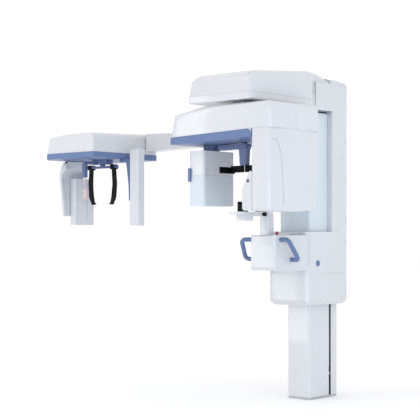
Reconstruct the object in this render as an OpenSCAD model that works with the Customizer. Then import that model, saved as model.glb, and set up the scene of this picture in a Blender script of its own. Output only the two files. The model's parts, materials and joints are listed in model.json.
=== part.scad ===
// Panoramic and cephalometric dental x-ray machine on a lifting column.
// Origin: centre of the column's foot on the floor. +Z up, +Y to the wall, -Y to the patient.

/* [Column] */
// Width of the column profile
column_w = 168; // [150:1:190]
// Depth of the column profile
column_d = 280; // [250:1:310]
// Height of the top of the column profile
column_h = 1530; // [1450:5:1530]
// Wall of the column profile
column_wall = 8; // [5:1:10]
// Thickness of the floor plate
plate_t = 12; // [8:1:20]
// Width of the slots in the column's sides
slot_w = 22; // [16:1:30]
// Distance of the slots and the lift screw behind the column's centre
slot_y = 64; // [50:1:70]
// Radius of the lift screw
screw_r = 12; // [8:1:16]

/* [Carriage] */
// Half the width of the carriage covers
carriage_x = 150; // [140:1:180]
// Distance of the lower covers' front face in front of the column's centre
carriage_front = 250; // [230:1:260]
// Distance of the covers' back edge behind the column's centre
carriage_back = 150; // [145:1:165]
// Height of the lower edge of the carriage
carriage_z = 563; // [530:1:580]
// Height of the seam between the lower and the middle cover
lower_seam_z = 750; // [720:1:770]
// Height of the seam between the middle and the upper covers
upper_seam_z = 998; // [990:1:1020]
// Height of the top of the side covers
side_top_z = 1880; // [1870:1:1895]
// Half the width of the recessed upper front cover
neck_x = 115; // [110:1:125]
// Distance of the upper front cover in front of the column's centre
neck_front = 178; // [172:1:182]
// Wall of the moulded covers
shell = 4; // [3:0.5:5]

/* [Overhead housing] */
// Half the width of the overhead housing
head_x = 226; // [200:1:240]
// Distance of the housing's front face from the column's centre
head_front = 865; // [840:1:890]
// Height of the underside of the overhead housing
head_z = 1715; // [1715:1:1718]
// Height of the seam between its lower tray and its upper cover
head_seam_z = 1755; // [1750:1:1765]
// Height of the highest point of the overhead housing
head_top_z = 1938; // [1925:1:1950]

/* [Rotating arm] */
// Distance of the rotation axis in front of the column's centre
axis_y = 637; // [620:1:650]
// Half the length of the rotating arm
arm_x = 367; // [340:1:370]
// Half the depth of the rotating arm
arm_d = 225; // [200:1:226]
// Height of the underside of the rotating arm
arm_z = 1489; // [1480:1:1495]
// Height of the trim band's upper edge
band_top_z = 1534; // [1525:1:1540]
// Height of the top of the rotating arm
arm_top_z = 1702; // [1690:1:1704]
// Height of the underside of the tube housing
tube_z = 1104; // [1090:1:1130]
// Outer radius of the hollow rotor shaft
shaft_r = 50; // [44:1:56]
// Running clearance of shafts in their bearings
fit = 0.05; // [0.02:0.01:0.09]

/* [Patient table] */
// Height of the top of the table
table_top_z = 978; // [960:1:985]
// Height of the underside of the table
table_z = 773; // [760:1:800]
// Distance of the table's front face from the column's centre
table_front = 490; // [470:1:510]
// Half the width of the table's front face
table_front_x = 85; // [70:1:110]
// Radius of the handles' tube
handle_r = 13; // [10:0.5:15]

/* [Cephalometric unit] */
// Distance of the head holder's axis to the left of the column
ceph_x = 1178; // [1160:1:1200]
// Distance of the cephalometric housing's right side from the column's centre
ceph_right = 960; // [950:1:962]
// Distance of its left side from the column's centre
ceph_left = 1445; // [1445:1:1480]
// Half the depth of the cephalometric housing
ceph_half_y = 282; // [265:1:300]
// Height of the underside of the cephalometric housing
ceph_z = 1450; // [1445:1:1455]
// Height of the upper edge of its trim band
ceph_band_z = 1483; // [1478:1:1490]
// Height of the top of the cephalometric housing
ceph_top_z = 1620; // [1610:1:1635]
// Distance of each ear rod from the head holder's axis
ear_x = 104; // [90:1:110]

/* [Hidden] */
gap = 0.5;
white = "#E6E9EF";
pale = "#D3DDE4";
blue = "#7F93BC";
dark = "#1B1B22";
metal = "#B9BDC4";
arc_steps = 6;

function unit(v) = v / norm(v);
function wrap(a) = a > 180 ? a - 360 : (a < -180 ? a + 360 : a);
// Points of the arc that rounds the corner q between p and s
function corner(p, q, s, r) =
    let (a = unit(p - q), b = unit(s - q), half = acos(a * b) / 2,
        c = q + unit(a + b) * r / sin(half),
        u = q + a * r / tan(half) - c, w = q + b * r / tan(half) - c,
        from = atan2(u[1], u[0]), turn = wrap(atan2(w[1], w[0]) - from))
    [for (i = [0:arc_steps]) c + r * [cos(from + turn * i / arc_steps),
        sin(from + turn * i / arc_steps)]];
// An outline with each corner rounded by its own radius
function rounded(pts, radii) =
    let (n = len(pts))
    [for (i = [0:n - 1]) each radii[i] > 0
        ? corner(pts[(i + n - 1) % n], pts[i], pts[(i + 1) % n], radii[i]) : [pts[i]]];
// Corners of a rectangle from its lowest and highest point
function rect(lo, hi) = [lo, [hi[0], lo[1]], hi, [lo[0], hi[1]]];

// A block from its lowest to its highest corner
module block(lo, hi) { translate(lo) cube(hi - lo); }
// A block whose upright edges are rounded
module post(lo, hi, r) {
    translate([0, 0, lo[2]]) linear_extrude(hi[2] - lo[2])
        polygon(rounded(rect([lo[0], lo[1]], [hi[0], hi[1]]), [r, r, r, r]));
}
// An outline in X and Z pushed along Y from y0 to y1
module side_x(pts, y0, y1) {
    translate([0, y1, 0]) rotate([90, 0, 0]) linear_extrude(y1 - y0) polygon(pts);
}
// An outline in Y and Z pushed along X from x0 to x1
module side_y(pts, x0, x1) {
    translate([x0, 0, 0]) rotate([90, 0, 90]) linear_extrude(x1 - x0) polygon(pts);
}
// A round bar or hole along Z
module rod(x, y, z0, z1, r) {
    translate([x, y, z0]) cylinder(h = z1 - z0, r = r, $fn = 64);
}

// ---- Column ----
screw_z0 = 110;
shelf_z = 134;
shelf_top_z = column_h - 50;
shelf_t = 12;
bearing_r = 22;
bolt_x = 110;
bolt_y = 210;
bolt_hole_r = 6.5;
inlet_z = 110;
wall_y = column_d / 2 + 60;
wall_hole = 120;
bracket_z = column_h - 130;

module floor_plate() color(metal) difference() {
    post([-column_w / 2 + 2, -column_d / 2 + 2, 0], [column_w / 2 - 2, column_d / 2 - 2, plate_t], 12);
    for (x = [-bolt_x / 2, bolt_x / 2], y = [-bolt_y / 2, bolt_y / 2])
        rod(x, y, -1, plate_t + 1, bolt_hole_r);
}
module column_profile() color(white) difference() {
    post([-column_w / 2, -column_d / 2, plate_t], [column_w / 2, column_d / 2, column_h], 14);
    post([-column_w / 2 + column_wall, -column_d / 2 + column_wall, 0],
        [column_w / 2 - column_wall, column_d / 2 - column_wall, column_h + 1], 7);
    block([-column_w, slot_y - slot_w / 2, 0], [column_w, slot_y + slot_w / 2, column_h - 40]);
    block([-30, column_d / 2 - 20, inlet_z - 24], [30, column_d / 2 + 1, inlet_z + 64]);
}
// The two shelves inside the column, each bored for the screw
module screw_supports() color(metal) for (z = [shelf_z, shelf_top_z]) difference() {
    union() {
        block([-column_w / 2 + column_wall, slot_y - 80, z],
            [column_w / 2 - column_wall, slot_y + 40, z + shelf_t]);
        rod(0, slot_y, z, z + shelf_t + 6, bearing_r);
    }
    rod(0, slot_y, z - 1, z + shelf_t + 7, screw_r + fit);
}
module lift_motor() color(dark) {
    difference() {
        rod(0, slot_y, plate_t, 104, 46);
        rod(0, slot_y, 90, 105, 20);
    }
    rod(0, slot_y, 89, 104, 8);
}
module wall_bracket() color(white) {
    back = column_d / 2;
    block([-50, back, bracket_z - 60], [50, back + 6, bracket_z + 60]);
    for (s = [-1, 1])
        block([s * 43 - 3, back + 6, bracket_z - 60], [s * 43 + 3, wall_y - 6, bracket_z + 60]);
    difference() {
        block([-80, wall_y - 6, bracket_z - 80], [80, wall_y, bracket_z + 80]);
        for (x = [-wall_hole / 2, wall_hole / 2], z = [-wall_hole / 2, wall_hole / 2])
            translate([x, wall_y + 1, bracket_z + z]) rotate([90, 0, 0]) cylinder(h = 8, r = 5.5, $fn = 32);
    }
}
module mains_inlet() color(dark) difference() {
    y = column_d / 2;
    block([-30, y - 24, inlet_z - 24], [30, y + 2, inlet_z + 64]);
    block([-12, y - 16, inlet_z - 9], [12, y + 3, inlet_z + 9]);
    block([-10.5, y - 12, inlet_z + 27], [10.5, y + 3, inlet_z + 49]);
}
module lift_screw() color(metal) {
    rod(0, slot_y, screw_z0, shelf_top_z + shelf_t, screw_r);
    rod(0, slot_y, screw_z0, screw_z0 + 16, screw_r + 8);
}

// ---- Carriage ----
side_in = column_w / 2 + 8;
side_out = side_in + 12;
frame_front = column_d / 2 + 20;
frame_top_z = 1850;
nut_z = 880;
chamfer = 32;
rear_open = 95;
button_y = 148;
button_z = 812;
button_r = 17;
neck_back = -5;

// The carriage covers' outer form, made smaller by the inset i
module carriage_form(z0, z1, i) {
    intersection() {
        translate([0, 0, z0]) linear_extrude(z1 - z0)
            polygon(rounded(rect([-carriage_x + i, -carriage_front + i],
                [carriage_x - i, carriage_back - i]), [40 - i, 40 - i, 12 - i, 12 - i]));
        side_x([[-carriage_x + i + chamfer, carriage_z + i], [carriage_x - i - chamfer, carriage_z + i],
            [carriage_x - i, carriage_z + i + chamfer], [carriage_x - i, 2000],
            [-carriage_x + i, 2000], [-carriage_x + i, carriage_z + i + chamfer]], -500, 500);
        side_y([[-carriage_front + i + chamfer, carriage_z + i], [500, carriage_z + i], [500, 2000],
            [-carriage_front + i, 2000], [-carriage_front + i, carriage_z + i + chamfer]], -500, 500);
    }
}
module lower_cover() color(white) difference() {
    carriage_form(carriage_z, lower_seam_z, 0);
    carriage_form(carriage_z - 1, lower_seam_z + 1, shell);
    block([-column_w / 2 - 4, -column_d / 2 - 4, carriage_z - 1],
        [column_w / 2 + 4, carriage_back + 1, carriage_z + 50]);
    block([-rear_open, 0, carriage_z - 1], [rear_open, carriage_back + 1, lower_seam_z + 1]);
}
module middle_cover() color(white) difference() {
    difference() {
        carriage_form(lower_seam_z + gap, upper_seam_z, 0);
        carriage_form(lower_seam_z, upper_seam_z - shell, shell);
    }
    block([-neck_x - gap, -neck_front - gap, upper_seam_z - 9],
        [neck_x + gap, carriage_back + 1, upper_seam_z + 1]);
    block([-rear_open, 0, lower_seam_z - 1], [rear_open, carriage_back + 1, upper_seam_z + 1]);
    translate([carriage_x - shell - 1, -button_y, button_z]) rotate([0, 90, 0])
        cylinder(h = shell + 2, r = button_r + 0.4, $fn = 48);
}
module upper_front_cover() color(pale) difference() {
    translate([0, 0, upper_seam_z]) linear_extrude(head_z - gap - upper_seam_z)
        polygon(rounded(rect([-neck_x, -neck_front], [neck_x, neck_back]), [18, 18, 0, 0]));
    post([-neck_x + 3, -neck_front + 3, upper_seam_z - 1], [neck_x - 3, 40, head_z + 1], 15);
}
// The right-hand upper side cover; the left one is its mirror image
module side_cover() {
    low = neck_back + gap;
    difference() {
        union() {
            translate([0, 0, upper_seam_z + gap]) linear_extrude(side_top_z - upper_seam_z - gap)
                polygon(rounded(rect([neck_x - 6, low], [carriage_x, carriage_back]), [0, 8, 11, 0]));
            block([carriage_x - 20, -168, head_z], [carriage_x, 20, side_top_z]);
        }
        block([0, low + 3, upper_seam_z], [carriage_x - 3, carriage_back - 3, side_top_z - 3]);
        block([0, -170, head_z - 1], [carriage_x - 3, 30, side_top_z - 3]);
        block([0, 20, upper_seam_z], [rear_open, carriage_back + 1, side_top_z + 1]);
        block([0, -170, side_top_z - 30], [carriage_x - 3, carriage_back - 24, side_top_z + 1]);
    }
}
module side_cover_right() color(white) side_cover();
module side_cover_left() color(white) mirror([1, 0, 0]) side_cover();

module carriage_frame() color(metal) {
    difference() {
        block([-side_out, -frame_front, 600], [side_out, 130, frame_top_z]);
        block([-side_in, -frame_front + 10, 599], [side_in, 131, frame_top_z - 12]);
        for (z = [680, 1120, 1330, 1540]) block([-side_out - 1, -60, z], [side_out + 1, 20, z + 120]);
    }
}
module guide_pads() color(dark) for (s = [-1, 1], z = [620, 1080], y = [-90, 100]) {
    x = s * (column_w / 2 + side_in + 0.4) / 2;
    block([x - 3.8, y - 20, z], [x + 3.8, y + 20, z + 40]);
}
module lift_bridge() color(metal) difference() {
    union() {
        block([-side_in, slot_y - 8, nut_z + 10], [side_in, slot_y + 8, nut_z + 50]);
        rod(0, slot_y, nut_z, nut_z + 60, 28);
    }
    rod(0, slot_y, nut_z - 1, nut_z + 61, screw_r + fit);
}

// ---- Overhead housing ----
rear_x = carriage_x - 3.5;
beam_z = 1740;
beam_t = 22;
web_top_z = 1836;
bearing_out = shaft_r + 25;
motor_y = 400;

// The overhead housing's outer form, made smaller by the inset i
module overhead_form(z0, z1, i) {
    f = head_front - i;
    w = head_x - i;
    v = rear_x - i;
    plan = [[-w, -f], [w, -f], [w, -300], [v, -192], [v, -20 - i], [-v, -20 - i],
        [-v, -192], [-w, -300]];
    t = head_top_z - i;
    intersection() {
        translate([0, 0, z0]) linear_extrude(z1 - z0)
            polygon(rounded(plan, [18, 14, 60, 60, 4, 4, 60, 60]));
        side_x(rounded([[-w, head_z + i], [w, head_z + i], [w, head_seam_z], [w - 12, t],
            [-w + 12, t], [-w, head_seam_z]], [12, 12, 90, 26, 26, 90]), -1000, 200);
        side_y(rounded([[-f, head_z + i], [100, head_z + i], [100, t - 44], [-40, t - 28], [-150, t],
            [-471, t - 30], [-f + 20, t - 62], [-f, t - 95]], [9, 0, 0, 60, 200, 400, 30, 20]), -500, 500);
    }
}
module overhead_tray() color(white) difference() {
    overhead_form(head_z, head_seam_z - gap, 0);
    overhead_form(head_z, head_seam_z + 1, shell);
    rod(0, -axis_y, head_z - 1, head_z + 30, shaft_r + 8);
    block([-neck_x + 4, -neck_front + 4, head_z - 1], [neck_x - 4, 200, head_z + 30]);
    block([-side_out - 1, -frame_front - 1, head_z - 1], [side_out + 1, 200, head_seam_z + 1]);
}
module overhead_cover() color(white) difference() {
    overhead_form(head_seam_z, head_top_z, 0);
    overhead_form(head_seam_z - 1, head_top_z, shell);
    block([-side_out - 1, -frame_front + 1, head_seam_z - 1], [side_out + 1, 200, frame_top_z + 1]);
}
module overhead_rear_cap() color(white) {
    top = head_top_z - 34;
    difference() {
        side_y(rounded([[-19, side_top_z + gap], [carriage_back - 6, side_top_z + gap],
            [carriage_back - 20, side_top_z + 14], [70, side_top_z + 18], [50, top], [-19, top]],
            [0, 2, 10, 6, 8, 0]), -rear_x, rear_x);
        side_y([[-15, side_top_z], [carriage_back - 40, side_top_z], [64, side_top_z + 12],
            [46, top - 4], [-15, top - 4]], -rear_x + shell, rear_x - shell);
    }
}
module overhead_beam() color(metal) difference() {
    union() {
        block([-60, -axis_y, beam_z], [60, -frame_front, beam_z + beam_t]);
        rod(0, -axis_y, beam_z, beam_z + beam_t, 96);
        for (s = [-1, 1])
            block([s * 54 - 6, -axis_y + 100, beam_z + beam_t], [s * 54 + 6, -frame_front, web_top_z]);
        block([-60, -axis_y - 20, web_top_z], [60, -frame_front, web_top_z + 10]);
        for (s = [-1, 1])
            block([s * 88 - 6, -axis_y - 20, beam_z + beam_t], [s * 88 + 6, -axis_y + 20, web_top_z + 10]);
        block([-94, -axis_y - 20, web_top_z], [94, -axis_y + 20, web_top_z + 10]);
    }
    rod(0, -axis_y, beam_z - 1, beam_z + beam_t + 1, bearing_out);
    rod(0, -motor_y, beam_z - 1, beam_z + beam_t + 1, 34);
}
module rotor_bearing() color(metal) difference() {
    rod(0, -axis_y, beam_z, beam_z + beam_t, bearing_out);
    rod(0, -axis_y, beam_z - 1, beam_z + beam_t + 1, shaft_r + fit);
}
module rotor_motor() color(dark) difference() {
    rod(0, -motor_y, beam_z - 2, 1826, 34);
    rod(0, -motor_y, beam_z - 3, 1790, 10);
}
pulley_z = 1721;
pulley_t = 14;
pulley_r = 90;
pinion_r = 24;
module motor_pulley() color(metal) {
    rod(0, -motor_y, pulley_z, pulley_z + pulley_t, pinion_r);
    rod(0, -motor_y, pulley_z, 1780, 8);
}
module belt_outline(e) {
    hull() {
        translate([0, -axis_y]) circle(r = pulley_r + e, $fn = 48);
        translate([0, -motor_y]) circle(r = pinion_r + e, $fn = 48);
    }
}
module drive_belt() color(dark) translate([0, 0, pulley_z + 2]) linear_extrude(pulley_t - 4)
    difference() {
        belt_outline(3.4);
        belt_outline(0.6);
    }
pivot_x = 14;
pivot_r = 5;
post_low_z = 1372;
module head_post() color(blue) difference() {
    union() {
        rod(0, -axis_y, arm_z - 20, web_top_z, 15);
        side_x(rounded([[-42, arm_z - 4], [-30, arm_z - 34], [-23, post_low_z], [23, post_low_z],
            [28, arm_z - 34], [40, arm_z - 4]], [4, 20, 5, 5, 20, 4]), -axis_y - 15, -axis_y + 15);
        post([-190, -axis_y - 26, arm_z - 24], [34, -axis_y + 26, arm_z + 4], 16);
    }
    for (x = [-pivot_x, pivot_x]) rod(x, -axis_y, post_low_z - 1, post_low_z + 20, pivot_r + fit);
}
// One temple support: an upright bar and a pad beside the head
module temple_arm(s) {
    rod(s * pivot_x, -axis_y, 1350, post_low_z + 18, pivot_r);
    post([s * 52 - 44, -axis_y - 16, 1334], [s * 52 + 44, -axis_y + 16, post_low_z - gap], 12);
    translate([0, 0, 1328]) linear_extrude(36) polygon(rounded([[s * 90, -axis_y - 104],
        [s * 102, -axis_y - 104], [s * 106, -axis_y - 20], [s * 90, -axis_y + 16],
        [s * 80, -axis_y + 16], [s * 92, -axis_y - 20]], [5, 5, 30, 5, 5, 24]));
}
module temple_arm_left() color(dark) temple_arm(-1);
module temple_arm_right() color(dark) temple_arm(1);

// ---- Rotating arm ----
arm_left = arm_x + 14;
leg_x = 238;
leg_in = 170;
sensor_x = 190;
sensor_w = 117;
sensor_d = 131;
sensor_z = 1145;
sensor_seam_z = 1320;
sensor_top_z = 1460;
frame_z = 1555;
band_rise = 20;
frame_t = 20;

// The crossbar's plan, from the left end to x, made smaller by the inset i
module arm_plan(z0, z1, x, r, i) {
    translate([0, 0, z0]) linear_extrude(z1 - z0)
        polygon(rounded(rect([-arm_left + i, -axis_y - arm_d + i], [x - i, -axis_y + arm_d - i]),
            [36, r, r, 36]));
}
module crossbar_form(i) {
    t = arm_top_z - i;
    high = band_top_z + band_rise - i;
    intersection() {
        arm_plan(band_top_z, arm_top_z, arm_x, 20, i);
        side_x(rounded([[-arm_left + i, band_top_z - i], [leg_x, high], [arm_x - i, high],
            [arm_x - i, t - 6], [200, t - 3], [-110, t - 6], [-arm_left + i + 26, t - 32]],
            [0, 0, 0, 24, 300, 300, 46]), -1000, 0);
    }
}
// The band's elevation, from the left end to x, made smaller by the inset i
module band_form(x, i) {
    side_x([[-arm_left + 10 + i, arm_z + 6 + i], [-200, arm_z + 6 + i], [x, arm_z + band_rise + i],
        [x, band_top_z + band_rise - gap + 2 * i], [-arm_left - 2 + i, band_top_z - gap + 2 * i]], -1000, 0);
}
module crossbar_cover() color(white) difference() {
    crossbar_form(0);
    crossbar_form(shell);
    rod(0, -axis_y, arm_top_z - 20, arm_top_z + 1, shaft_r + 4);
}
module crossbar_band() color(blue) difference() {
    intersection() {
        arm_plan(arm_z, frame_z, leg_x - gap - 2, 20, -2);
        band_form(leg_x, 0);
    }
    intersection() {
        arm_plan(arm_z, frame_z + 9, leg_x - gap, 6, shell + 12);
        band_form(leg_x, shell);
    }
    rod(0, -axis_y, arm_z - 1, arm_z + band_rise + shell, 22);
}
module crossbar_frame() color(metal) difference() {
    union() {
        block([-330, -axis_y - 60, frame_z], [leg_x + 90, -axis_y + 60, frame_z + frame_t]);
        block([leg_x + 8, -axis_y - 60, 1484], [leg_x + 16, -axis_y + 60, frame_z]);
        block([-290, -axis_y - 40, arm_z + shell + 6], [-210, -axis_y + 40, frame_z]);
    }
    rod(0, -axis_y, frame_z - 1, frame_z + frame_t + 1, shaft_r);
}
module rotor_shaft() color(metal) difference() {
    union() {
        rod(0, -axis_y, frame_z, beam_z + beam_t + 12, shaft_r);
        rod(0, -axis_y, beam_z + beam_t + 0.4, beam_z + beam_t + 12, shaft_r + 12);
        rod(0, -axis_y, pulley_z, pulley_z + pulley_t, pulley_r);
    }
    rod(0, -axis_y, frame_z - 1, beam_z + beam_t + 20, 20);
}
module tube_form(i) {
    low = -axis_y - arm_d + i;
    high = -axis_y + arm_d - i;
    intersection() {
        translate([0, 0, tube_z]) linear_extrude(band_top_z + band_rise - gap - tube_z)
            polygon(rounded(rect([leg_x + i, low], [arm_x - i, high]), [8, 20, 36, 8]));
        side_y(rounded([[low, 2000], [low, tube_z + i], [high, tube_z + i + 14], [high, 2000]],
            [0, 30, 44, 0]), 0, 500);
        side_x(rounded([[leg_x + i, 2000], [leg_x + i, tube_z + i], [arm_x - i, tube_z + i],
            [arm_x - i, 2000]], [0, 6, 22, 0]), -1000, 0);
    }
}
module tube_cover() color(white) difference() {
    tube_form(0);
    tube_form(shell);
    translate([leg_x - 1, -axis_y, 1290]) rotate([0, 90, 0]) cylinder(h = shell + 2, r = 30, $fn = 48);
    block([leg_x + 5, -axis_y - 90, band_top_z - 20], [arm_x - 8, -axis_y + 90, frame_z]);
}
module collimator_form(i) {
    side_x(rounded([[leg_x - gap, tube_z + 8 + i], [leg_x - gap, 1352 - i], [leg_in + i, 1236],
        [leg_in + i, tube_z + 8 + i]], [0, 10, 30, 16]), -axis_y - arm_d + 4 + i, -axis_y + 130 - i);
}
module collimator_cover() color(pale) difference() {
    collimator_form(0);
    translate([1, 0, 0]) collimator_form(shell);
    block([leg_in - 1, -axis_y - 4, 1130], [leg_in + 8, -axis_y + 4, 1225]);
}
module tube_tank() color(metal) difference() {
    post([leg_x + 18, -axis_y - 110, 1150], [arm_x - 14, -axis_y + 110, 1480], 16);
    rod(300, -axis_y, 1180, 1440, 34);
    translate([leg_x, -axis_y, 1290]) rotate([0, 90, 0]) cylinder(h = 62, r = 12, $fn = 48);
}
module xray_tube() color("#C9D2D6") {
    rod(300, -axis_y, 1200, 1410, 24);
    rod(300, -axis_y, 1180, 1440, 14);
}
module sensor_hub() color(blue)
    post([-288, -axis_y - 42, sensor_top_z], [-212, -axis_y + 42, arm_z + 5.5], 20);
module sensor_shell(z0, z1, in0, in1) difference() {
    post([-sensor_x - sensor_w, -axis_y - sensor_d, z0], [-sensor_x, -axis_y + sensor_d, z1], 14);
    post([-sensor_x - sensor_w + 3, -axis_y - sensor_d + 3, in0],
        [-sensor_x - 3, -axis_y + sensor_d - 3, in1], 11);
}
module sensor_upper_cover() color(white)
    sensor_shell(sensor_seam_z + gap, sensor_top_z, sensor_seam_z - 1, sensor_top_z - 3);
module sensor_lower_cover() color(pale)
    sensor_shell(sensor_z, sensor_seam_z, sensor_z + 3, sensor_seam_z + 1);
module sensor_board() color(dark) {
    block([-sensor_x - 12, -axis_y - 30, sensor_z + 3], [-sensor_x - 4, -axis_y + 30, sensor_seam_z + 100]);
    block([-sensor_x - 60, -axis_y - 80, sensor_z + 3], [-sensor_x - 12, -axis_y + 80, sensor_z + 9]);
}
lever_z = 1362;
module sensor_lever() color(blue) {
    translate([-sensor_x - sensor_w + 1, -axis_y - sensor_d - 5, lever_z - 5]) rotate([0, 90, 0])
        cylinder(h = 18, r = 4.3, $fn = 32);
    side_y(rounded([[-axis_y - sensor_d - 4.5, lever_z], [-axis_y - sensor_d - gap, lever_z - 6],
        [-axis_y - sensor_d - gap, lever_z - 50], [-axis_y - sensor_d - 3, lever_z - 78],
        [-axis_y - sensor_d - 11, lever_z - 78], [-axis_y - sensor_d - 11, lever_z]], [2, 0, 30, 2, 4, 5]),
        -sensor_x - sensor_w + 1, -sensor_x - sensor_w + 19);
}

// ---- Patient table and chin rest ----
table_side = 300;
handle_out = 76;
handle_len = 136;
handle_bend = 26;
handle_turn = -19;
handle_tilt = 58;
key_x = 110;
key_y = 325;
stop_x = 46;
stop_y = 402;
stop_r = 7;

module table_form(z0, z1, i) {
    f = table_front - i;
    intersection() {
        translate([0, 0, z0]) linear_extrude(z1 - z0)
            polygon(rounded([[-table_front_x + i / 2, -f], [table_front_x - i / 2, -f],
                [carriage_x - i, -table_side], [carriage_x - i, -carriage_front - gap],
                [-carriage_x + i, -carriage_front - gap], [-carriage_x + i, -table_side]],
                [36, 36, 90, 0, 0, 90]));
        side_y(rounded([[-f + 20, table_z + i], [0, table_z + i], [0, table_top_z - i],
            [-f, table_top_z - i]], [22, 0, 0, 12]), -400, 400);
    }
}
module patient_table() color(white) difference() {
    table_form(table_z, table_top_z, 0);
    table_form(table_z, table_top_z, shell);
    for (s = [-1, 1]) block([key_x + s * 11 - 8.5, -key_y - 8.5, table_top_z - 9],
        [key_x + s * 11 + 8.5, -key_y + 8.5, table_top_z + 1]);
    rod(stop_x, -stop_y, table_top_z - 9, table_top_z + 1, stop_r + fit);
}
module table_handle(s) mirror([s < 0 ? 1 : 0, 0, 0])
    translate([102, -436, 952]) rotate([0, 0, handle_turn]) rotate([-handle_tilt, 0, 0]) {
        b = handle_bend;
        for (y = [0, handle_len]) translate([-2, y, 0]) rotate([0, 90, 0])
            cylinder(h = handle_out + 2 - b, r = handle_r, $fn = 48);
        translate([handle_out, b, 0]) rotate([-90, 0, 0])
            cylinder(h = handle_len - 2 * b, r = handle_r, $fn = 48);
        translate([handle_out - b, b, 0]) rotate([0, 0, -90]) rotate_extrude(angle = 90, $fn = 48)
            translate([b, 0]) circle(r = handle_r);
        translate([handle_out - b, handle_len - b, 0]) rotate_extrude(angle = 90, $fn = 48)
            translate([b, 0]) circle(r = handle_r);
    }
module table_handles() color(blue) difference() {
    for (s = [-1, 1]) table_handle(s);
    table_form(table_z, table_top_z, 0);
}
module control_panel() color(blue) difference() {
    post([key_x - 24, -key_y - 22, table_top_z], [key_x + 24, -key_y + 22, table_top_z + 2.5], 5);
    for (s = [-1, 1]) block([key_x + s * 11 - 8.5, -key_y - 8.5, table_top_z - 1],
        [key_x + s * 11 + 8.5, -key_y + 8.5, table_top_z + 4]);
}
module key(s) color(pale) post([key_x + s * 11 - 8, -key_y - 8, table_top_z - 6],
    [key_x + s * 11 + 8, -key_y + 8, table_top_z + 4.5], 2);
module key_up() key(-1);
module key_down() key(1);
module stop_button() color("#A02030") {
    rod(stop_x, -stop_y, table_top_z + 5, table_top_z + 21, 10);
    rod(stop_x, -stop_y, table_top_z - 14, table_top_z + 6, stop_r);
}
module side_button() color(blue) translate([carriage_x - shell - 4, -button_y, button_z]) rotate([0, 90, 0])
    cylinder(h = shell + 7, r = button_r, $fn = 48);
chin_z = 1086;
chin_t = 24;
chin_y = 656;
knob_y = 500;
module chin_arm() color(white) difference() {
    union() {
        post([-30, -472, table_top_z], [30, -404, chin_z + 4], 14);
        post([-26, -axis_y - 20, chin_z], [26, -404, chin_z + chin_t], 10);
        post([-62, -axis_y - 76, chin_z + 8], [62, -axis_y + 6, chin_z + chin_t], 22);
        post([-34, -axis_y - 40, chin_z - 26], [34, -axis_y + 44, chin_z + 9], 14);
    }
    rod(0, -chin_y, chin_z - 30, chin_z + chin_t + 1, 8 + fit);
    translate([8, -knob_y, chin_z + 12]) rotate([0, 90, 0]) cylinder(h = 30, r = 4 + fit, $fn = 32);
}
module chin_rest() color(dark) {
    rod(0, -chin_y, chin_z - 14, chin_z + chin_t + 6, 8);
    difference() {
        post([-30, -chin_y - 16, chin_z + chin_t + 1], [30, -chin_y + 20, chin_z + chin_t + 58], 12);
        translate([0, -chin_y - 30, chin_z + chin_t + 62]) rotate([-90, 0, 0])
            cylinder(h = 42, r = 24, $fn = 48);
    }
}
module clamp_knob() color(dark) translate([0, -knob_y, chin_z + 12]) rotate([0, 90, 0]) {
    translate([0, 0, 10]) cylinder(h = 20, r = 4, $fn = 32);
    translate([0, 0, 26.6]) difference() {
        cylinder(h = 16, r = 12, $fn = 48);
        for (a = [0:45:315]) rotate([0, 0, a]) translate([13.4, 0, -1])
            cylinder(h = 18, r = 3, $fn = 24);
    }
}

// ---- Cephalometric unit ----
ceph_front = axis_y + ceph_half_y;
ceph_back = axis_y - ceph_half_y;
neck_half_y = 20;
detector_x = 1410;
detector_travel = 100;
slit_x = 980;
slit_travel = 68;
slit_side = -903.5;
rail_z = ceph_z + 26;
rail_r = 8;
rail_half = 190;
rod_r = 4;
nasion_y = axis_y + 150;
nasion_z = 1335;
bar_z = ceph_z - 52;

module ceph_form(z0, z1, i) {
    intersection() {
        translate([0, 0, z0]) linear_extrude(z1 - z0)
            polygon(rounded([[-ceph_left + 60, -ceph_front + i], [-ceph_right - i, -ceph_front + i],
                [-ceph_right - i, -ceph_back - i], [-ceph_left + i, -ceph_back - i],
                [-ceph_left + i, -ceph_front + 60]], [40, 12, 36, 36, 40]));
        side_x(rounded([[-ceph_left + i, 1000], [-ceph_right - i, 1000], [-ceph_right - i, ceph_band_z],
            [-ceph_right - i - 10, ceph_top_z - i - 4], [-ceph_x, ceph_top_z - i],
            [-ceph_left + i + 22, ceph_top_z - i - 10], [-ceph_left + i, ceph_band_z]],
            [0, 0, 90, 36, 500, 44, 90]), -1200, 0);
        side_y(rounded([[-ceph_front + i, 1000], [-ceph_back - i, 1000], [-ceph_back - i, ceph_top_z - i - 6],
            [-axis_y + 90, ceph_top_z - i], [-axis_y - 90, ceph_top_z - i - 6],
            [-ceph_front + i, ceph_top_z - i - 20]], [0, 0, 30, 300, 300, 26]), -2000, 0);
    }
}
module ceph_cover() color(white) difference() {
    ceph_form(ceph_band_z + gap, ceph_top_z, 0);
    ceph_form(ceph_band_z, ceph_top_z, shell);
}
module ceph_band() color(blue) difference() {
    ceph_form(ceph_z, ceph_band_z, -2);
    ceph_form(ceph_z + shell, ceph_band_z + 1, shell);
    for (side = [[detector_x, detector_travel], [slit_x, slit_travel]])
        block([-side[0] - 14, -axis_y - neck_half_y - side[1] - 5, ceph_z - 1],
            [-side[0] + 14, -axis_y + neck_half_y + side[1] + 5, ceph_z + 6]);
    rod(-ceph_x, -axis_y, ceph_z - 1, ceph_z + shell + 1, 20 + fit);
}
module ceph_rails() color(metal) for (x = [detector_x, slit_x]) {
    translate([-x, -axis_y - rail_half, rail_z]) rotate([-90, 0, 0])
        cylinder(h = 2 * rail_half, r = rail_r, $fn = 48);
    for (y = [-rail_half, rail_half - 16])
        block([-x - 13, y - axis_y, ceph_z + shell], [-x + 13, y - axis_y + 16, rail_z + 13]);
}
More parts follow.
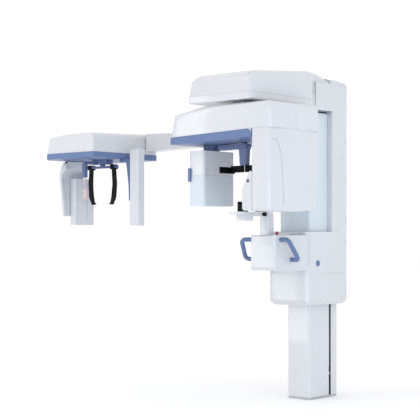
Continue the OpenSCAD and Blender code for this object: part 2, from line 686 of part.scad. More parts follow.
// The neck that hangs a sliding unit on its rail
module rail_neck(x) difference() {
    block([-x - 11, -axis_y - neck_half_y, ceph_z - 20], [-x + 11, -axis_y + neck_half_y, rail_z + 14]);
    translate([-x, -axis_y - 50, rail_z]) rotate([-90, 0, 0]) cylinder(h = 100, r = rail_r + fit, $fn = 48);
}
module ceph_detector() color(white) {
    rail_neck(detector_x);
    intersection() {
        side_x(rounded([[-detector_x - 14, ceph_z - 2], [-detector_x + 14, ceph_z - 2],
            [-detector_x + 10, 1398], [-detector_x - 20, 1360], [-detector_x - 20, 1098],
            [-detector_x - 36, 1096],
            [-detector_x - 42, 1370], [-detector_x - 34, 1420]], [3, 3, 20, 20, 4, 6, 40, 20]), -1000, 0);
        side_y(rounded([[-axis_y - 108, ceph_z - 2], [-axis_y + 60, ceph_z - 2], [-axis_y + 60, 1090],
            [-axis_y - 98, 1090], [-axis_y - 124, 1340]], [30, 20, 4, 8, 200]), -2000, 0);
    }
    post([-detector_x - 22, -axis_y - 53, 1041], [-detector_x + 32, -axis_y + 112, 1338], 12);
}
module slit_arm() color(blue) {
    rail_neck(slit_x);
    side_x(rounded([[-slit_x - 11, ceph_z - 2], [slit_side, ceph_z - 2], [slit_side, 1190],
        [slit_side - 5, 1190], [slit_side - 8, 1280], [slit_side - 24, 1395], [slit_side - 32, ceph_z - 20],
        [-slit_x - 11, ceph_z - 18]], [3, 0, 0, 2, 60, 30, 10, 4]), -axis_y - 30, -axis_y + 26);
}
module ceph_slit() color(white) difference() {
    post([slit_side + gap, -axis_y - 32, 1035], [-826, -axis_y + 27, 1503], 9);
    post([slit_side + gap + 4, -axis_y - 28, 1039], [-830, -axis_y + 23, 1499], 6);
}
module ceph_arm() color(white) {
    intersection() {
        translate([0, 0, 1490]) linear_extrude(140)
            polygon(rounded([[-ceph_right + 2.2, -470], [-ceph_right + 2.2, -372], [-560, -195],
                [-carriage_x - 2, -30], [-neck_x, -22], [-neck_x, -140], [-carriage_x - 2, -140],
                [-560, -300]], [0, 0, 200, 20, 0, 0, 20, 200]));
        side_x(rounded([[-1000, 1500], [-700, 1522], [-400, 1556], [0, 1560], [0, 1622], [-1000, 1614]],
            [0, 200, 200, 0, 0, 0]), -600, 0);
    }
}
module head_holder() color(blue) {
    x = -ceph_x;
    rod(x, -axis_y, ceph_z - 27, ceph_z - gap, 66);
    rod(x, -axis_y, ceph_z - 5, ceph_z + 14, 20);
    rod(x, -axis_y, ceph_z + shell + 0.4, ceph_z + 14, 27);
    rod(x, -axis_y, bar_z, ceph_z - 26, 17);
    block([x - 132, -axis_y - 14, bar_z], [x + 132, -axis_y + 14, bar_z + 14]);
    difference() {
        union() {
            post([x - 9, -nasion_y - 12, bar_z + 20], [x + 9, -axis_y - 40, ceph_z - 12], 6);
            post([x - 13, -nasion_y - 14, nasion_z], [x + 13, -nasion_y + 14, bar_z + 21], 5);
        }
        rod(x, -nasion_y, nasion_z - 1, ceph_z, rod_r + fit);
    }
}
module ear_rod(s) {
    x = -ceph_x + s * ear_x;
    color(dark) difference() {
        post([x - 16, -axis_y - 22, bar_z - 8], [x + 16, -axis_y + 22, bar_z + 22], 5);
        block([x - 17, -axis_y - 14.4, bar_z - 0.4], [x + 17, -axis_y + 14.4, bar_z + 14.4]);
    }
    color(dark) {
        side_x(rounded([for (p = [[-12, bar_z - 8], [-20, 1300], [-14, 1215], [14, 1166], [26, 1172],
            [14, 1225], [5, 1300], [12, bar_z - 8]]) [x - s * p[0], p[1]]],
            [0, 120, 60, 8, 6, 60, 120, 0]), -axis_y - 9, -axis_y + 9);
        translate([x - s * 18, -axis_y, 1176]) rotate([0, -s * 90, 0]) cylinder(h = 22, r = 5, $fn = 32);
    }
}
module ear_rod_left() ear_rod(-1);
module ear_rod_right() ear_rod(1);
module nasion_rest() color(pale) {
    rod(-ceph_x, -nasion_y, 1206, ceph_z - 14, rod_r);
    post([-ceph_x - 16, -nasion_y - 4, 1200], [-ceph_x + 16, -nasion_y + 16, 1264], 8);
}

floor_plate();
column_profile();
screw_supports();
lift_motor();
wall_bracket();
mains_inlet();
lift_screw();
carriage_frame();
guide_pads();
lift_bridge();
lower_cover();
middle_cover();
upper_front_cover();
side_cover_left();
side_cover_right();
overhead_beam();
overhead_tray();
overhead_cover();
overhead_rear_cap();
rotor_bearing();
rotor_motor();
motor_pulley();
drive_belt();
head_post();
rotor_shaft();
crossbar_frame();
crossbar_cover();
crossbar_band();
tube_cover();
collimator_cover();
tube_tank();
xray_tube();
sensor_hub();
sensor_upper_cover();
sensor_lower_cover();
sensor_board();
sensor_lever();
temple_arm_left();
temple_arm_right();
patient_table();
table_handles();
chin_arm();
chin_rest();
clamp_knob();
control_panel();
key_up();
key_down();
stop_button();
side_button();
ceph_arm();
ceph_cover();
ceph_band();
ceph_rails();
head_holder();
ear_rod_left();
ear_rod_right();
nasion_rest();
ceph_detector();
slit_arm();
ceph_slit();
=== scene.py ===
"""Looks of a panoramic and cephalometric dental x-ray machine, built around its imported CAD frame."""
import json
import math
import bmesh
import bpy
from mathutils import Matrix, Vector


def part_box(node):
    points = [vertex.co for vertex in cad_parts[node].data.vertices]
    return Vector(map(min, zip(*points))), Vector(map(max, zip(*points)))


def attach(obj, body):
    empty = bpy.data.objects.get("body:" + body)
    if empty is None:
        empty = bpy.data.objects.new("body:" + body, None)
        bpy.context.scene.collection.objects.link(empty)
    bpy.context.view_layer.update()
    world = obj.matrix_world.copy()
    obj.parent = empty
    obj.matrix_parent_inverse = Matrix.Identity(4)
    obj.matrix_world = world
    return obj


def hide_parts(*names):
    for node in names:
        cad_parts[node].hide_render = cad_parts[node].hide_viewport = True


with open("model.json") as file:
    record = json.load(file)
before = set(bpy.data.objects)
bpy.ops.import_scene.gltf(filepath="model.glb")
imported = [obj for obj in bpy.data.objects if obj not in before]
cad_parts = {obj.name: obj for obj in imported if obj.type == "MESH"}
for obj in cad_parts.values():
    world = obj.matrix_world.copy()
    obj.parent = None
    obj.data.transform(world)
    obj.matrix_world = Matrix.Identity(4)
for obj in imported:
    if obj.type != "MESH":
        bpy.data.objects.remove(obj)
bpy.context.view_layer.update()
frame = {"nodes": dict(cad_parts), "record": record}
NODES = frame["nodes"]
MM = 0.001
scene = bpy.context.scene
scene.view_settings.view_transform = "Standard"

# ---- Camera: level, 42 degrees to the right of the front, seven metres away ----
AZIMUTH = math.radians(42)
DISTANCE = 7.0
SIDE_STEP = -0.6218
EYE_HEIGHT = 0.996
FOCAL_LENGTH_MM = 99.0
SHIFT_UP = 0.0524
back = Vector((math.sin(AZIMUTH), -math.cos(AZIMUTH), 0))
right = Vector((math.cos(AZIMUTH), math.sin(AZIMUTH), 0))
camera_data = bpy.data.cameras.new("camera")
camera_data.lens = FOCAL_LENGTH_MM
camera_data.shift_y = SHIFT_UP
camera = bpy.data.objects.new("camera", camera_data)
scene.collection.objects.link(camera)
camera.location = back * DISTANCE + right * SIDE_STEP + Vector((0, 0, EYE_HEIGHT))
camera.rotation_euler = (math.radians(90), 0, AZIMUTH)
scene.camera = camera


# ---- Materials ----
NOISE_LOW, NOISE_HIGH = 0.3, 0.7
TINT_DRIFT_SCALE = 2.2
HANDLING_SCALE = 14.0
MOULDED_GRAIN_STRENGTH = 0.08


def linear(hex_colour):
    """Turns an sRGB hex value into linear RGBA."""
    values = [int(hex_colour[i:i + 2], 16) / 255 for i in (0, 2, 4)]
    return [v / 12.92 if v <= 0.04045 else ((v + 0.055) / 1.055) ** 2.4 for v in values] + [1.0]


def add(tree, kind, links=None, **settings):
    """Adds a node, sets its properties and sockets, and joins its inputs to other nodes' outputs."""
    item = tree.nodes.new(kind)
    for name, value in settings.items():
        if hasattr(item, name):
            setattr(item, name, value)
        else:
            item.inputs[name.replace("_", " ")].default_value = value
    for socket, source in (links or {}).items():
        tree.links.new(source, item.inputs[socket])
    return item


def surface(name, **settings):
    """A new material with one shader; returns the material, its tree, its shader and object coordinates."""
    material = bpy.data.materials.new(name)
    material.use_nodes = True
    tree = material.node_tree
    tree.nodes.clear()
    shader = add(tree, "ShaderNodeBsdfPrincipled", **settings)
    add(tree, "ShaderNodeOutputMaterial", {"Surface": shader.outputs[0]})
    place = add(tree, "ShaderNodeTexCoord").outputs["Object"]
    return material, tree, shader, place


def tinted(tree, shader, factor, colour_a, colour_b):
    """Lets the base colour drift between two close colours with a factor."""
    ramp = add(tree, "ShaderNodeValToRGB", {"Fac": factor})
    ramp.color_ramp.elements[0].position = NOISE_LOW
    ramp.color_ramp.elements[0].color = linear(colour_a)
    ramp.color_ramp.elements[1].position = NOISE_HIGH
    ramp.color_ramp.elements[1].color = linear(colour_b)
    tree.links.new(ramp.outputs["Color"], shader.inputs["Base Color"])


def roughened(tree, shader, factor, low, high):
    """Lets the roughness drift between two values with a factor."""
    span = add(tree, "ShaderNodeMapRange", {"Value": factor}, From_Min=NOISE_LOW, From_Max=NOISE_HIGH, To_Min=low,
        To_Max=high)
    tree.links.new(span.outputs[0], shader.inputs["Roughness"])


def bumped(tree, shader, height, depth_mm, strength):
    """Raises the surface by a height pattern whose full depth is given in millimetres."""
    bump = add(tree, "ShaderNodeBump", {"Height": height}, Strength=strength, Distance=depth_mm * MM)
    tree.links.new(bump.outputs["Normal"], shader.inputs["Normal"])


def moulded(name, colour_a, colour_b, rough_low, rough_high, grain_mm, grain_depth_mm, coat=0.0, sheen=0.5):
    """Injection-moulded plastic: drifting tint, uneven gloss and the fine grain of the tool."""
    material, tree, shader, place = surface(name, IOR=1.5, Specular_IOR_Level=sheen, Coat_Weight=coat,
        Coat_Roughness=0.06)
    drift = add(tree, "ShaderNodeTexNoise", {"Vector": place}, Scale=TINT_DRIFT_SCALE, Detail=3.0)
    tinted(tree, shader, drift.outputs[0], colour_a, colour_b)
    handling = add(tree, "ShaderNodeTexNoise", {"Vector": place}, Scale=HANDLING_SCALE, Detail=5.0)
    roughened(tree, shader, handling.outputs[0], rough_low, rough_high)
    grain = add(tree, "ShaderNodeTexNoise", {"Vector": place}, Scale=1 / (grain_mm * MM), Detail=2.0)
    bumped(tree, shader, grain.outputs[0], grain_depth_mm, MOULDED_GRAIN_STRENGTH)
    return material


def painted_abs():
    """Painted ABS shells: cool white satin paint with a faint orange peel of about 5 mm."""
    return moulded("painted_abs_white", "CACDD2", "CED1D6", 0.24, 0.34, 5.0, 0.012, coat=0.6)


def textured_abs():
    """Textured ABS: the greyer shells, with a 2 mm spark-eroded grain that dulls the gloss."""
    return moulded("textured_abs_pale", "CAD3DB", "CFD8E0", 0.42, 0.55, 2.0, 0.02)


def tinted_pc():
    """Mass-coloured polycarbonate trim: slate blue, silky, with a 2.5 mm grain."""
    return moulded("tinted_polycarbonate_blue", "5F739C", "667AA3", 0.34, 0.46, 2.5, 0.03, sheen=0.3)


def deep_pc():
    """The darker blue of the positioning parts, a little glossier than the trim."""
    return moulded("tinted_polycarbonate_slate", "50618F", "5A6C99", 0.3, 0.4, 2.5, 0.04, coat=0.15)


def black_pa():
    """Glass-filled nylon: near-black positioning parts with a visible 1.5 mm grain."""
    return moulded("glass_filled_nylon_black", "08090D", "0D0E13", 0.34, 0.48, 1.5, 0.08, sheen=0.15)


def gap_shade_black():
    """Dark and dull, slightly mottled, with a 3 mm grain: painted shade for the gap at the neck."""
    return moulded("painted_shade_neck_gap", "1C1D21", "2A2B30", 0.7, 0.85, 3.0, 0.08)


def red_pc():
    """Glossy moulded red of the stop button."""
    return moulded("moulded_polycarbonate_red", "8E1426", "A01A2C", 0.16, 0.24, 4.0, 0.03, coat=0.5)


def brushed_metal(name, colour_a, colour_b, line_mm):
    """Brushed metal: long fine lines along Z that stretch the highlight."""
    material, tree, shader, place = surface(name, Metallic=1.0, Anisotropic=0.5)
    stretch = add(tree, "ShaderNodeMapping", {"Vector": place}, Scale=(1 / (line_mm * MM), 1 / (line_mm * MM), 8.0))
    lines = add(tree, "ShaderNodeTexNoise", {"Vector": stretch.outputs[0]}, Scale=1.0, Detail=3.0)
    tinted(tree, shader, lines.outputs[0], colour_a, colour_b)
    roughened(tree, shader, lines.outputs[0], 0.22, 0.42)
    bumped(tree, shader, lines.outputs[0], 0.02, 0.3)
    return material


def powder_coat():
    """Powder-coated steel of the inner frames: grey with a 1.2 mm orange peel."""
    material, tree, shader, place = surface("powder_coated_steel", Metallic=0.0, IOR=1.5)
    cells = add(tree, "ShaderNodeTexVoronoi", {"Vector": place}, feature="SMOOTH_F1", Scale=1 / (1.2 * MM))
    drift = add(tree, "ShaderNodeTexNoise", {"Vector": place}, Scale=9.0, Detail=4.0)
    tinted(tree, shader, drift.outputs[0], "8B9098", "999EA6")
    roughened(tree, shader, drift.outputs[0], 0.42, 0.58)
    bumped(tree, shader, cells.outputs["Distance"], 0.05, 0.4)
    return material


def toothed_rubber():
    """Drive belt: black neoprene with 5 mm ribs across it."""
    material, tree, shader, place = surface("neoprene_belt", Roughness=0.75)
    ribs = add(tree, "ShaderNodeTexWave", {"Vector": place}, Scale=1 / (5 * MM) / 6.3, Distortion=0.4)
    tinted(tree, shader, ribs.outputs[1], "121214", "1D1D20")
    bumped(tree, shader, ribs.outputs[1], 0.6, 0.6)
    return material


def tube_glass():
    """Borosilicate glass of the tube insert, hidden in its tank."""
    material, tree, shader, place = surface("borosilicate_glass", Transmission_Weight=1.0, IOR=1.47)
    haze = add(tree, "ShaderNodeTexNoise", {"Vector": place}, Scale=30.0)
    tinted(tree, shader, haze.outputs[0], "DCE6E8", "EDF4F5")
    roughened(tree, shader, haze.outputs[0], 0.03, 0.08)
    return material


WHITE, PALE, BLUE, SLATE = painted_abs(), textured_abs(), tinted_pc(), deep_pc()
BLACK, NECK_GAP_SHADE, RED = black_pa(), gap_shade_black(), red_pc()
STEEL = brushed_metal("brushed_steel", "B4B7BC", "C6C9CD", 0.6)
ALUMINIUM = brushed_metal("satin_anodised_aluminium", "C9CCD1", "D6D9DD", 0.9)
COAT, BELT, GLASS = powder_coat(), toothed_rubber(), tube_glass()
SEAM = moulded("seam_gasket_grey", "8E98A6", "99A3B0", 0.5, 0.65, 2.0, 0.02)
LENS = moulded("smoked_lens", "0B0C10", "14161C", 0.08, 0.14, 6.0, 0.005, coat=0.6)
SILICONE = moulded("silicone_rose", "C9B5B8", "D2C0C2", 0.5, 0.62, 2.0, 0.02)

SLOT_LOOK = {
    "white_cover": WHITE, "pale_cover": PALE, "blue_trim": BLUE, "black_plastic": BLACK, "steel": STEEL,
    "frame_paint": COAT, "belt_rubber": BELT, "stop_red": RED, "tube_glass": GLASS,
}
OWN_LOOK = {"head_post": SLATE, "head_holder": SLATE, "slit_arm": SLATE, "collimator_cover": WHITE,
    "nasion_rest": SILICONE}
BEVEL_MM = {"white_cover": 3.0, "pale_cover": 3.0, "blue_trim": 2.0, "black_plastic": 1.5, "steel": 0.6,
    "frame_paint": 1.0, "stop_red": 1.2}
OTHER_BEVEL_MM = 0.5
WELD_MM = 0.02
BEVEL_ABOVE = math.radians(35)
SHARP_ABOVE = math.radians(38)
SHELL_WALL_MM = 3.5
SAME_HEIGHT_M = 1e-6


# ---- Carried-over CAD pieces: finish and softened edges ----
def soften(piece, width_mm):
    """Rounds a CAD piece's sharp edges and keeps its flat faces flat."""
    weld = piece.modifiers.new("weld", "WELD")
    weld.merge_threshold = WELD_MM * MM
    bevel = piece.modifiers.new("edge_round", "BEVEL")
    bevel.width = width_mm * MM
    bevel.segments = 3
    bevel.limit_method = "ANGLE"
    bevel.angle_limit = BEVEL_ABOVE
    bevel.use_clamp_overlap = True
    bevel.harden_normals = False
    for face in piece.data.polygons:
        face.use_smooth = True
    normals = piece.modifiers.new("even_normals", "WEIGHTED_NORMAL")
    normals.keep_sharp = False


for part in frame["record"]["subparts"]:
    node_name, slot_name = part["node"], part["material_slot"]
    piece = NODES[node_name]
    piece.data.materials.clear()
    piece.data.materials.append(OWN_LOOK.get(node_name, SLOT_LOOK[slot_name]))
    soften(piece, BEVEL_MM.get(slot_name, OTHER_BEVEL_MM))

# ---- Softly moulded shells that stand for the CAD's sharper ones ----
def rounded_outline(points, radii, steps=10):
    """A closed outline in millimetres with each corner rounded by its own radius."""
    outline = []
    for i, radius in enumerate(radii):
        before, here, after = (Vector(points[(i + k) % len(points)]) for k in (-1, 0, 1))
        a, b = (before - here).normalized(), (after - here).normalized()
        half = a.angle(b) / 2
        centre = here + (a + b).normalized() * radius / math.sin(half)
        start, end = here + a * radius / math.tan(half), here + b * radius / math.tan(half)
        for k in range(steps + 1):
            outline.append(centre + (start - centre).slerp(end - centre, k / steps) * radius)
    return outline


def link(name, bm, look, body):
    """Turns a bmesh in metres into a finished piece that rides on a body."""
    mesh = bpy.data.meshes.new(name)
    bmesh.ops.recalc_face_normals(bm, faces=bm.faces)
    bm.to_mesh(mesh)
    bm.free()
    mesh.materials.append(look)
    for face in mesh.polygons:
        face.use_smooth = True
    mesh.set_sharp_from_angle(angle=SHARP_ABOVE)
    piece = bpy.data.objects.new(name, mesh)
    scene.collection.objects.link(piece)
    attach(piece, body)
    return piece


def moulding(name, node, body, slot_name, outline, low, high, top_mm, foot_mm, cuts, shape, opening=None):
    """A shell over an outline, its upper and lower rims rounded, bent by a shape function.

    With an opening box it has no floor and no wall inside that box, and gets a real wall thickness."""
    bm = bmesh.new()
    floor_ring = [bm.verts.new((x * MM, y * MM, low * MM)) for x, y in outline]
    roof_ring = [bm.verts.new((x * MM, y * MM, high * MM)) for x, y in outline]
    bm.faces.new(floor_ring)
    bm.faces.new(roof_ring)
    for i in range(len(outline)):
        j = (i + 1) % len(outline)
        bm.faces.new((floor_ring[i], floor_ring[j], roof_ring[j], roof_ring[i]))
    bmesh.ops.recalc_face_normals(bm, faces=bm.faces)
    for height, radius in ((low, foot_mm), (high, top_mm)):
        rim = [e for e in bm.edges if all(abs(v.co.z - height * MM) < SAME_HEIGHT_M for v in e.verts)]
        bmesh.ops.bevel(bm, geom=rim, offset=radius * MM, offset_type="OFFSET", segments=8 if radius > 3 else 2,
            profile=0.5, affect="EDGES", clamp_overlap=False)
    axis, first, last, count = cuts
    for k in range(1, count):
        point, normal = Vector(), Vector()
        point[axis] = (first + (last - first) * k / count) * MM
        normal[axis] = 1
        bmesh.ops.bisect_plane(bm, geom=bm.verts[:] + bm.edges[:] + bm.faces[:], plane_co=point, plane_no=normal)
    if opening:
        cut_open(bm, *opening)
    for vertex in bm.verts:
        vertex.co = Vector(shape(*(vertex.co / MM))) * MM
    piece = link(name, bm, SLOT_LOOK[slot_name], body)
    if opening:
        wall = piece.modifiers.new("wall", "SOLIDIFY")
        wall.thickness = SHELL_WALL_MM * MM
        wall.offset = -1
    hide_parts(node)
    return piece


def cut_open(bm, low_corner, high_corner):
    """Removes the floor of a shell and whatever of its walls lies inside a box, in millimetres."""
    for axis in range(3):
        for value in (low_corner[axis], high_corner[axis]):
            point, normal = Vector(), Vector()
            point[axis], normal[axis] = value * MM, 1
            bmesh.ops.bisect_plane(bm, geom=bm.verts[:] + bm.edges[:] + bm.faces[:], plane_co=point, plane_no=normal)
    floor_z = min(v.co.z for v in bm.verts)
    doomed = []
    for face in bm.faces:
        middle = face.calc_center_median()
        inside = all(low_corner[k] * MM < middle[k] < high_corner[k] * MM for k in range(3))
        if inside or all(abs(v.co.z - floor_z) < SAME_HEIGHT_M for v in face.verts):
            doomed.append(face)
    bmesh.ops.delete(bm, geom=doomed, context="FACES")


def eased(value, start, end):
    """0 before start and 1 after end, with a soft run between them."""
    t = min(1.0, max(0.0, (value - start) / (end - start)))
    return t * t * (3 - 2 * t)


def overhead_shell():
    """Upper overhead cover: sides lean in, the roof climbs in a long arc towards the column."""
    (left, front, low), (right, rear, high) = (Vector(c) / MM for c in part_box("overhead_cover"))
    neck_half, neck_front, shoulder = 146.5, -192, -300
    plan = [(left, front), (right, front), (right, shoulder), (neck_half, neck_front), (neck_half, rear),
        (-neck_half, rear), (-neck_half, neck_front), (left, shoulder)]
    column_space = ((-104, -158, low - 5), (104, 50, 1851))

    def shape(x, y, z):
        up = (z - low) / (high - low)
        arc, nose, tail = max(0.0, -150 - y) / 695, eased(-y, 790, 880), eased(y, -170, -10)
        fall = 62 * arc + 26 * nose + 34 * tail
        return x * (1 - 0.053 * up), y + 14 * up * eased(-y, 780, 865), z - fall * up

    moulding("overhead_shell", "overhead_cover", "carriage", "white_cover",
        rounded_outline(plan, [20, 14, 60, 60, 4, 4, 60, 60]), low, high, 26, 0.8, (1, front, rear, 26), shape,
        column_space)


def crossbar_shell():
    """Cover of the rotating arm: a leaning, well-rounded left end over a lower edge that climbs to the tube."""
    (left, front, low), (right, rear, high) = (Vector(c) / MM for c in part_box("crossbar_cover"))
    plan = [(left, front), (right, front), (right, rear), (left, rear)]

    def shape(x, y, z):
        up = (z - low) / (high - low)
        end = eased(-x, 60, 400)
        climb = 20 * min(1.0, (x - left) / 619)
        lean, drop = 26 * up * end, 34 * up * end
        return x + lean, y, z - drop + climb * (1 - up)

    moulding("crossbar_shell", "crossbar_cover", "rotor", "white_cover",
        rounded_outline(plan, [44, 18, 40, 44]), low, high, 26, 0.8, (0, left, right, 24), shape)


def tube_shell():
    """Tube housing below the arm: a crisp front corner and a lower edge that sweeps up at the back."""
    (left, front, low), (right, rear, high) = (Vector(c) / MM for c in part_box("tube_cover"))
    plan = [(left, front), (right, front), (right, rear), (left, rear)]

    def shape(x, y, z):
        down = (high - z) / (high - low)
        sweep = eased(y, -640, -412)
        belly = math.sin(math.pi * (y - front) / (rear - front))
        outer = x > 330
        return x + 5 * belly * outer - 5 * outer, y - 12 * down * sweep, z + 12 * max(0.0, down) * sweep

    moulding("tube_shell", "tube_cover", "rotor", "white_cover",
        rounded_outline(plan, [10, 18, 40, 10]), low, high, 0.8, 24, (1, front, rear, 18), shape)


def ceph_shell():
    """Cover of the cephalometric unit: a low dome with rounded ends."""
    (left, front, low), (right, rear, high) = (Vector(c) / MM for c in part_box("ceph_cover"))
    plan = [(left + 60, front), (right, front), (right, rear), (left, rear), (left, front + 60)]

    def shape(x, y, z):
        up = (z - low) / (high - low)
        end, side = eased(-x, 1200, 1445), eased(x, -1040, -960)
        brow = eased(-y, 640, 919)
        front_lean = 8 * up * eased(-y, 800, 919)
        return x + up * (20 * end - 8 * side), y + front_lean, z - up * (16 * end + 4 * side + 18 * brow)

    moulding("ceph_shell", "ceph_cover", "carriage", "white_cover",
        rounded_outline(plan, [40, 14, 36, 36, 40]), low, high, 28, 0.8, (0, left, right, 20), shape)


overhead_shell()
crossbar_shell()
tube_shell()
ceph_shell()


# ---- Small fittings ----
def curved(points, steps=8):
    """A smooth line through the given points, in millimetres."""
    ends = [points[0]] + [Vector(p) for p in points] + [points[-1]]
    line = []
    for i in range(1, len(ends) - 2):
        a, b, c, d = (Vector(p) for p in ends[i - 1:i + 3])
        for k in range(steps):
            t = k / steps
            square, cube = 2 * a - 5 * b + 4 * c - d, 3 * b - a - 3 * c + d
            line.append(0.5 * (2 * b + (c - a) * t + square * t ** 2 + cube * t ** 3))
    return line + [Vector(points[-1])]


def bead(name, line, radius_mm, look, body):
    """A round bead laid along a line, closed and tapered at both ends."""
    sides = 10
    bm = bmesh.new()
    rings = []
    for i, point in enumerate(line):
        along = (line[min(i + 1, len(line) - 1)] - line[max(i - 1, 0)]).normalized()
        side = along.orthogonal().normalized()
        up = along.cross(side)
        radius = radius_mm * (0.35 if i in (0, len(line) - 1) else 1)
        rings.append([bm.verts.new((point + radius * (side * math.cos(a) + up * math.sin(a))) * MM)
            for a in (k * 2 * math.pi / sides for k in range(sides))])
    for one, two in zip(rings, rings[1:]):
        shift = min(range(sides), key=lambda k: (two[k].co - one[0].co).length)
        for k in range(sides):
            bm.faces.new((one[k], one[(k + 1) % sides], two[(k + 1 + shift) % sides], two[(k + shift) % sides]))
    bm.faces.new(rings[0])
    bm.faces.new(rings[-1])
    return link(name, bm, look, body)


def turned(name, profile, place, direction, look, body, sides=40):
    """A lathe-turned piece: (radius, height) steps in millimetres, standing at a place along a direction."""
    bm = bmesh.new()
    rings = [[bm.verts.new((r * math.cos(2 * math.pi * k / sides), r * math.sin(2 * math.pi * k / sides), h))
        for k in range(sides)] for r, h in profile]
    for one, two in zip(rings, rings[1:]):
        for k in range(sides):
            bm.faces.new((one[k], one[(k + 1) % sides], two[(k + 1) % sides], two[k]))
    bm.faces.new(rings[0])
    bm.faces.new(rings[-1])
    turn = Vector(direction).to_track_quat("Z", "Y").to_matrix().to_4x4()
    bmesh.ops.transform(bm, matrix=Matrix.Scale(MM, 4) @ Matrix.Translation(place) @ turn, verts=bm.verts)
    return link(name, bm, look, body)


def tile(name, outline, place, across, normal, thick_mm, look, body):
    """A thin plate with a softened upper rim, its outline in the plane of across and normal x across."""
    across, normal = Vector(across).normalized(), Vector(normal).normalized()
    up = normal.cross(across)
    bm = bmesh.new()
    edge = min(0.4, thick_mm / 3)
    centre = sum((Vector(p) for p in outline), Vector((0, 0))) / len(outline)
    rings = []
    for inset, height in ((False, 0), (False, thick_mm - edge), (True, thick_mm)):
        ring = []
        for p in outline:
            p = Vector(p)
            if inset:
                p = p - (p - centre).normalized() * edge
            ring.append(bm.verts.new((Vector(place) + across * p.x + up * p.y + normal * height) * MM))
        rings.append(ring)
    count = len(outline)
    for one, two in zip(rings, rings[1:]):
        for k in range(count):
            bm.faces.new((one[k], one[(k + 1) % count], two[(k + 1) % count], two[k]))
    bm.faces.new(rings[0])
    bm.faces.new(rings[-1])
    return link(name, bm, look, body)


def lozenge(width, height, radius):
    """The outline of a rounded rectangle about its centre."""
    w, h = width / 2, height / 2
    return rounded_outline([(-w, -h), (w, -h), (w, h), (-w, h)], [radius] * 4, 6)


def tube_side_details():
    """Inspection panel line, vent dashes and light-port boss of the tube side."""
    panel = curved([(362.4, -842, 1491), (363.1, -820, 1490), (364, -795, 1482), (364.5, -777, 1445),
        (365, -760, 1387), (365.2, -752, 1275), (365.4, -743, 1136)])
    bead("tube_panel_line", panel, 1.3, SEAM, "rotor")
    vents, first_vent_z, vent_pitch = 6, 1560, 17
    for k in range(vents):
        tile("tube_vent_%d" % (k + 1), lozenge(2.6, 9, 1.2), (366.4, -638, first_vent_z + vent_pitch * k), (0, 1, 0),
            (1, 0, 0), 1.2, SEAM, "rotor")
    turned("light_port_ring", [(10, 0), (10, 2.2), (9.2, 3), (7.4, 3), (6.8, 2.2)], (211, -857.6, 1272), (0, -1, 0),
        SEAM, "rotor")
    turned("light_port_lens", [(6.7, 0), (6.7, 2), (5.6, 2.8), (3, 3.3), (0.4, 3.5)], (211, -857.8, 1272), (0, -1, 0),
        LENS, "rotor")


def band_corner():
    """White web that rounds the blue band's inner corner where the arm turns down into the tube housing."""
    radius, steps = 26, 10
    arc = [(-radius + radius * math.sin(a), -radius + radius * math.cos(a))
        for a in (k * math.pi / (2 * steps) for k in range(steps + 1))]
    tile("band_corner_web", [(0, 0)] + arc, (236.6, -863.4, 1553.6), (1, 0, 0), (0, -1, 0), 1.6, WHITE, "rotor")


def panel_marks():
    """Arrow marks on the two lift keys and a status light beside them."""
    arrow = rounded_outline([(-3.4, -2.4), (3.4, -2.4), (0, 3.2)], [0.6] * 3, 3)
    for body, x, turn in (("key_up", 99, 1), ("key_down", 121, -1)):
        tile(body + "_arrow", arrow, (x, -325, 982.3), (turn, 0, 0), (0, 0, 1), 0.5, SLATE, body)
    turned("status_light", [(2.2, 0), (2.2, 0.9), (1.4, 1.3), (0.2, 1.4)], (110, -308.5, 980.3), (0, 0, 1), LENS,
        "carriage", 20)


def neck_gap_shade_strips():
    """Black strips of painted shade in the shadowed gap where the recessed neck meets the overhead tray."""
    for s, side in ((-1, "left"), (1, "right")):
        tile("neck_gap_shade_strips_" + side, lozenge(88, 9, 1.5), (s * 114.8, -58, 1707), (0, 1, 0), (s, 0, 0), 3.0, NECK_GAP_SHADE,
            "carriage")


def cover_screws():
    """Cover screws with a driver recess along the back edges of the carriage covers."""
    heights = (620, 700, 800, 940, 1060, 1300, 1540)
    for s, side in ((-1, "left"), (1, "right")):
        for k, z in enumerate(heights):
            turned("cover_screw_%s_%d" % (side, k + 1), [(4.6, 0), (4.6, 0.8), (3.9, 1.5), (1.9, 1.5), (1.6, 0.6)],
                (s * 149.4, 128, z), (s, 0, 0), STEEL, "carriage", 24)


def ceph_details():
    """Centre line and latch of the sliding detector."""
    bead("detector_centre_line", [Vector((-1378.2, -588, z)) for z in (1056, 1100, 1200, 1300, 1326)], 1.1, SEAM,
        "ceph_detector")
    tile("detector_latch", lozenge(16, 9, 3), (-1400, -744.6, 1440), (1, 0, 0), (0, -1, 0), 5, BLACK, "ceph_detector")


tube_side_details()
band_corner()
panel_marks()
neck_gap_shade_strips()
cover_screws()
ceph_details()

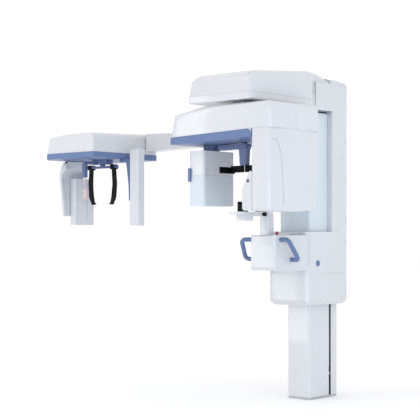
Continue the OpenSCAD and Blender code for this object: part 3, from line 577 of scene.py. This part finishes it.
# ---- Studio ----
def studio_floor():
    """A plain pale floor of matt board."""
    material, tree, shader, place = surface("matt_white_board", Roughness=0.9)
    drift = add(tree, "ShaderNodeTexNoise", {"Vector": place}, Scale=0.8)
    tinted(tree, shader, drift.outputs[0], "FAFAFC", "FCFCFD")
    mesh = bpy.data.meshes.new("studio_floor")
    half, below = 40.0, 0.0005
    mesh.from_pydata([(-half, -half, 0), (half, -half, 0), (half, half, 0), (-half, half, 0)], [], [(0, 1, 2, 3)])
    floor = bpy.data.objects.new("studio_floor", mesh)
    floor.location.z = -below
    mesh.materials.append(material)
    scene.collection.objects.link(floor)


def soft_box(name, place, aim, width, height, watts, colour):
    """A rectangular area light that looks at a point."""
    data = bpy.data.lights.new(name, "AREA")
    data.shape = "RECTANGLE"
    data.size, data.size_y = width, height
    data.energy = watts
    data.color = linear(colour)[:3]
    lamp = bpy.data.objects.new(name, data)
    lamp.location = place
    lamp.rotation_euler = (Vector(aim) - Vector(place)).to_track_quat("-Z", "Y").to_euler()
    scene.collection.objects.link(lamp)


def studio_light():
    """A weak, broad key, two strip boxes for the gloss, a blue fill from the right, and a bright even surround."""
    key = bpy.data.lights.new("key_light", "SUN")
    key.energy = 0.2
    key.angle = math.radians(35)
    lamp = bpy.data.objects.new("key_light", key)
    lamp.rotation_euler = Vector((0.55, 0.75, -0.8)).to_track_quat("-Z", "Y").to_euler()
    scene.collection.objects.link(lamp)
    soft_box("front_strip", (-2.2, -3.0, 1.2), (0.0, -0.3, 1.1), 0.28, 2.4, 7, "FFFFFF")
    soft_box("corner_strip", (0.6, -6.2, 1.3), (0.1, -0.5, 1.3), 0.3, 2.6, 16, "FFFFFF")
    soft_box("sky_blue_fill", (3.5, -2.2, 0.8), (0.1, -0.4, 1.0), 1.8, 1.8, 34, "C6DFF5")
    world = bpy.data.worlds.new("surround")
    world.use_nodes = True
    sky = world.node_tree.nodes["Background"]
    sky.inputs["Color"].default_value = linear("FFFFFF")
    sky.inputs["Strength"].default_value = 1.03
    scene.world = world


studio_floor()
studio_light()
